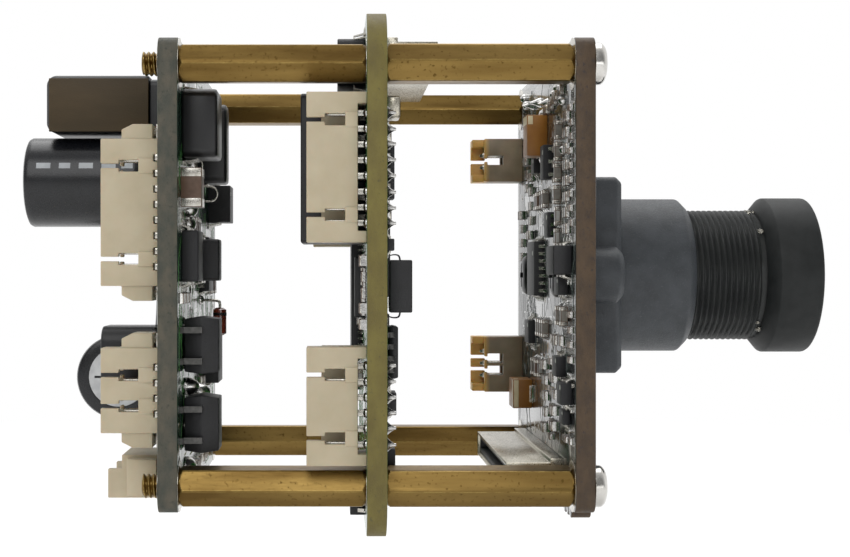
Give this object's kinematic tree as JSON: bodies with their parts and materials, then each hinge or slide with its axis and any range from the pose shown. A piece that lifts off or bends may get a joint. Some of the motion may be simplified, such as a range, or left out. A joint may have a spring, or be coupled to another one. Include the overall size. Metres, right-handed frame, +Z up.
{
  "type": "camera module",
  "caption": "Board camera of three square circuit boards stacked on brass standoffs, with keyed headers and a screw-in lens.",
  "frame": {"origin": "middle of the four-stud pattern, on the rear face of the rear board", "axes": "+X the way the lens looks, +Z up, +Y to the left of the lens's view"},
  "size_m": [0.0703, 0.042, 0.042],
  "materials": {
    "black_anodised": "black anodised, satin",
    "ivory_nylon": "satin moulding",
    "black_moulding": "moulded, matte",
    "plated_shell": "plated sheet",
    "lens_glass": "coated glass",
    "black_steel": "blackened steel",
    "sensor_package": "matte",
    "filter_glass": "clear, with a faint tint",
    "tin": "bright tin plate",
    "holder_plastic": "fine textured grey plastic",
    "capacitor_sleeve": "shrunk sleeve, semi-gloss",
    "middle_board": "glass-fibre board, olive edge",
    "chip_ceramic": "fired ceramic with plated ends",
    "solder": "bright solder",
    "rear_board": "glass-fibre board with a glossy solder mask and a sawn edge",
    "brass": "turned brass, slightly tarnished",
    "sensor_board": "glass-fibre board, brown edge",
    "nickel": "bright nickel plate",
    "tantalum_case": "moulded, satin",
    "amber_nylon": "satin moulding, warmed by heat",
    "brown_core": "varnished"
  },
  "bodies": {
    "module": {"bottom_rear_header": "ivory_nylon", "bridge_rectifiers": "black_moulding", "choke": "black_moulding", "controller": "black_moulding", "crystal_can": "plated_shell", "far_middle_header": "ivory_nylon", "flash_chip": "black_moulding", "holder_screws": "black_steel", "image_sensor": "sensor_package", "infrared_filter": "filter_glass", "lens_header_pins": "tin", "lens_holder": "holder_plastic", "long_middle_header": "ivory_nylon", "long_rear_header": "ivory_nylon", "lower_capacitor": "capacitor_sleeve", "lower_ribbon_body": "black_moulding", "lower_ribbon_shell": "plated_shell", "main_processor": "black_moulding", "memory_chip": "black_moulding", "middle_board": "middle_board", "middle_board_front_chips": "chip_ceramic", "middle_board_packages": "black_moulding", "middle_board_rear_chips": "chip_ceramic", "middle_header_pins": "tin", "network_chip": "black_moulding", "network_transformer": "black_moulding", "pin_solder_joints": "solder", "power_inductor": "black_moulding", "rear_board": "rear_board", "rear_board_chips": "chip_ceramic", "rear_board_packages": "black_moulding", "rear_header_pins": "tin", "rear_standoffs": "brass", "regulator": "black_moulding", "second_inductor": "black_moulding", "sensor_board": "sensor_board", "sensor_board_chips": "chip_ceramic", "sensor_board_packages": "black_moulding", "sensor_board_screws": "nickel", "sensor_glass": "filter_glass", "sensor_standoffs": "brass", "sensor_supply_chip": "black_moulding", "serial_port_driver": "black_moulding", "short_middle_header": "ivory_nylon", "short_rear_header": "ivory_nylon", "surge_diode": "black_moulding", "tantalum_capacitors": "tantalum_case", "three_pin_lens_header": "amber_nylon", "transformer_base": "black_moulding", "transformer_core": "brown_core", "two_pin_lens_header": "amber_nylon", "upper_capacitor": "capacitor_sleeve", "upper_ribbon_body": "black_moulding", "upper_ribbon_shell": "plated_shell"},
    "lens": {"rear_glass": "lens_glass", "lens_barrel": "black_anodised", "middle_glass": "lens_glass", "aperture_stop": "black_anodised", "front_glass": "lens_glass", "retaining_ring": "black_anodised"}
  },
  "joints": [
    {"name": "focus_turn", "type": "hinge", "parent": "module", "child": "lens", "pos_m": [0.045, 0, 0], "axis": [1, 0, 0], "range_deg": [-360, 360]}
  ]
}
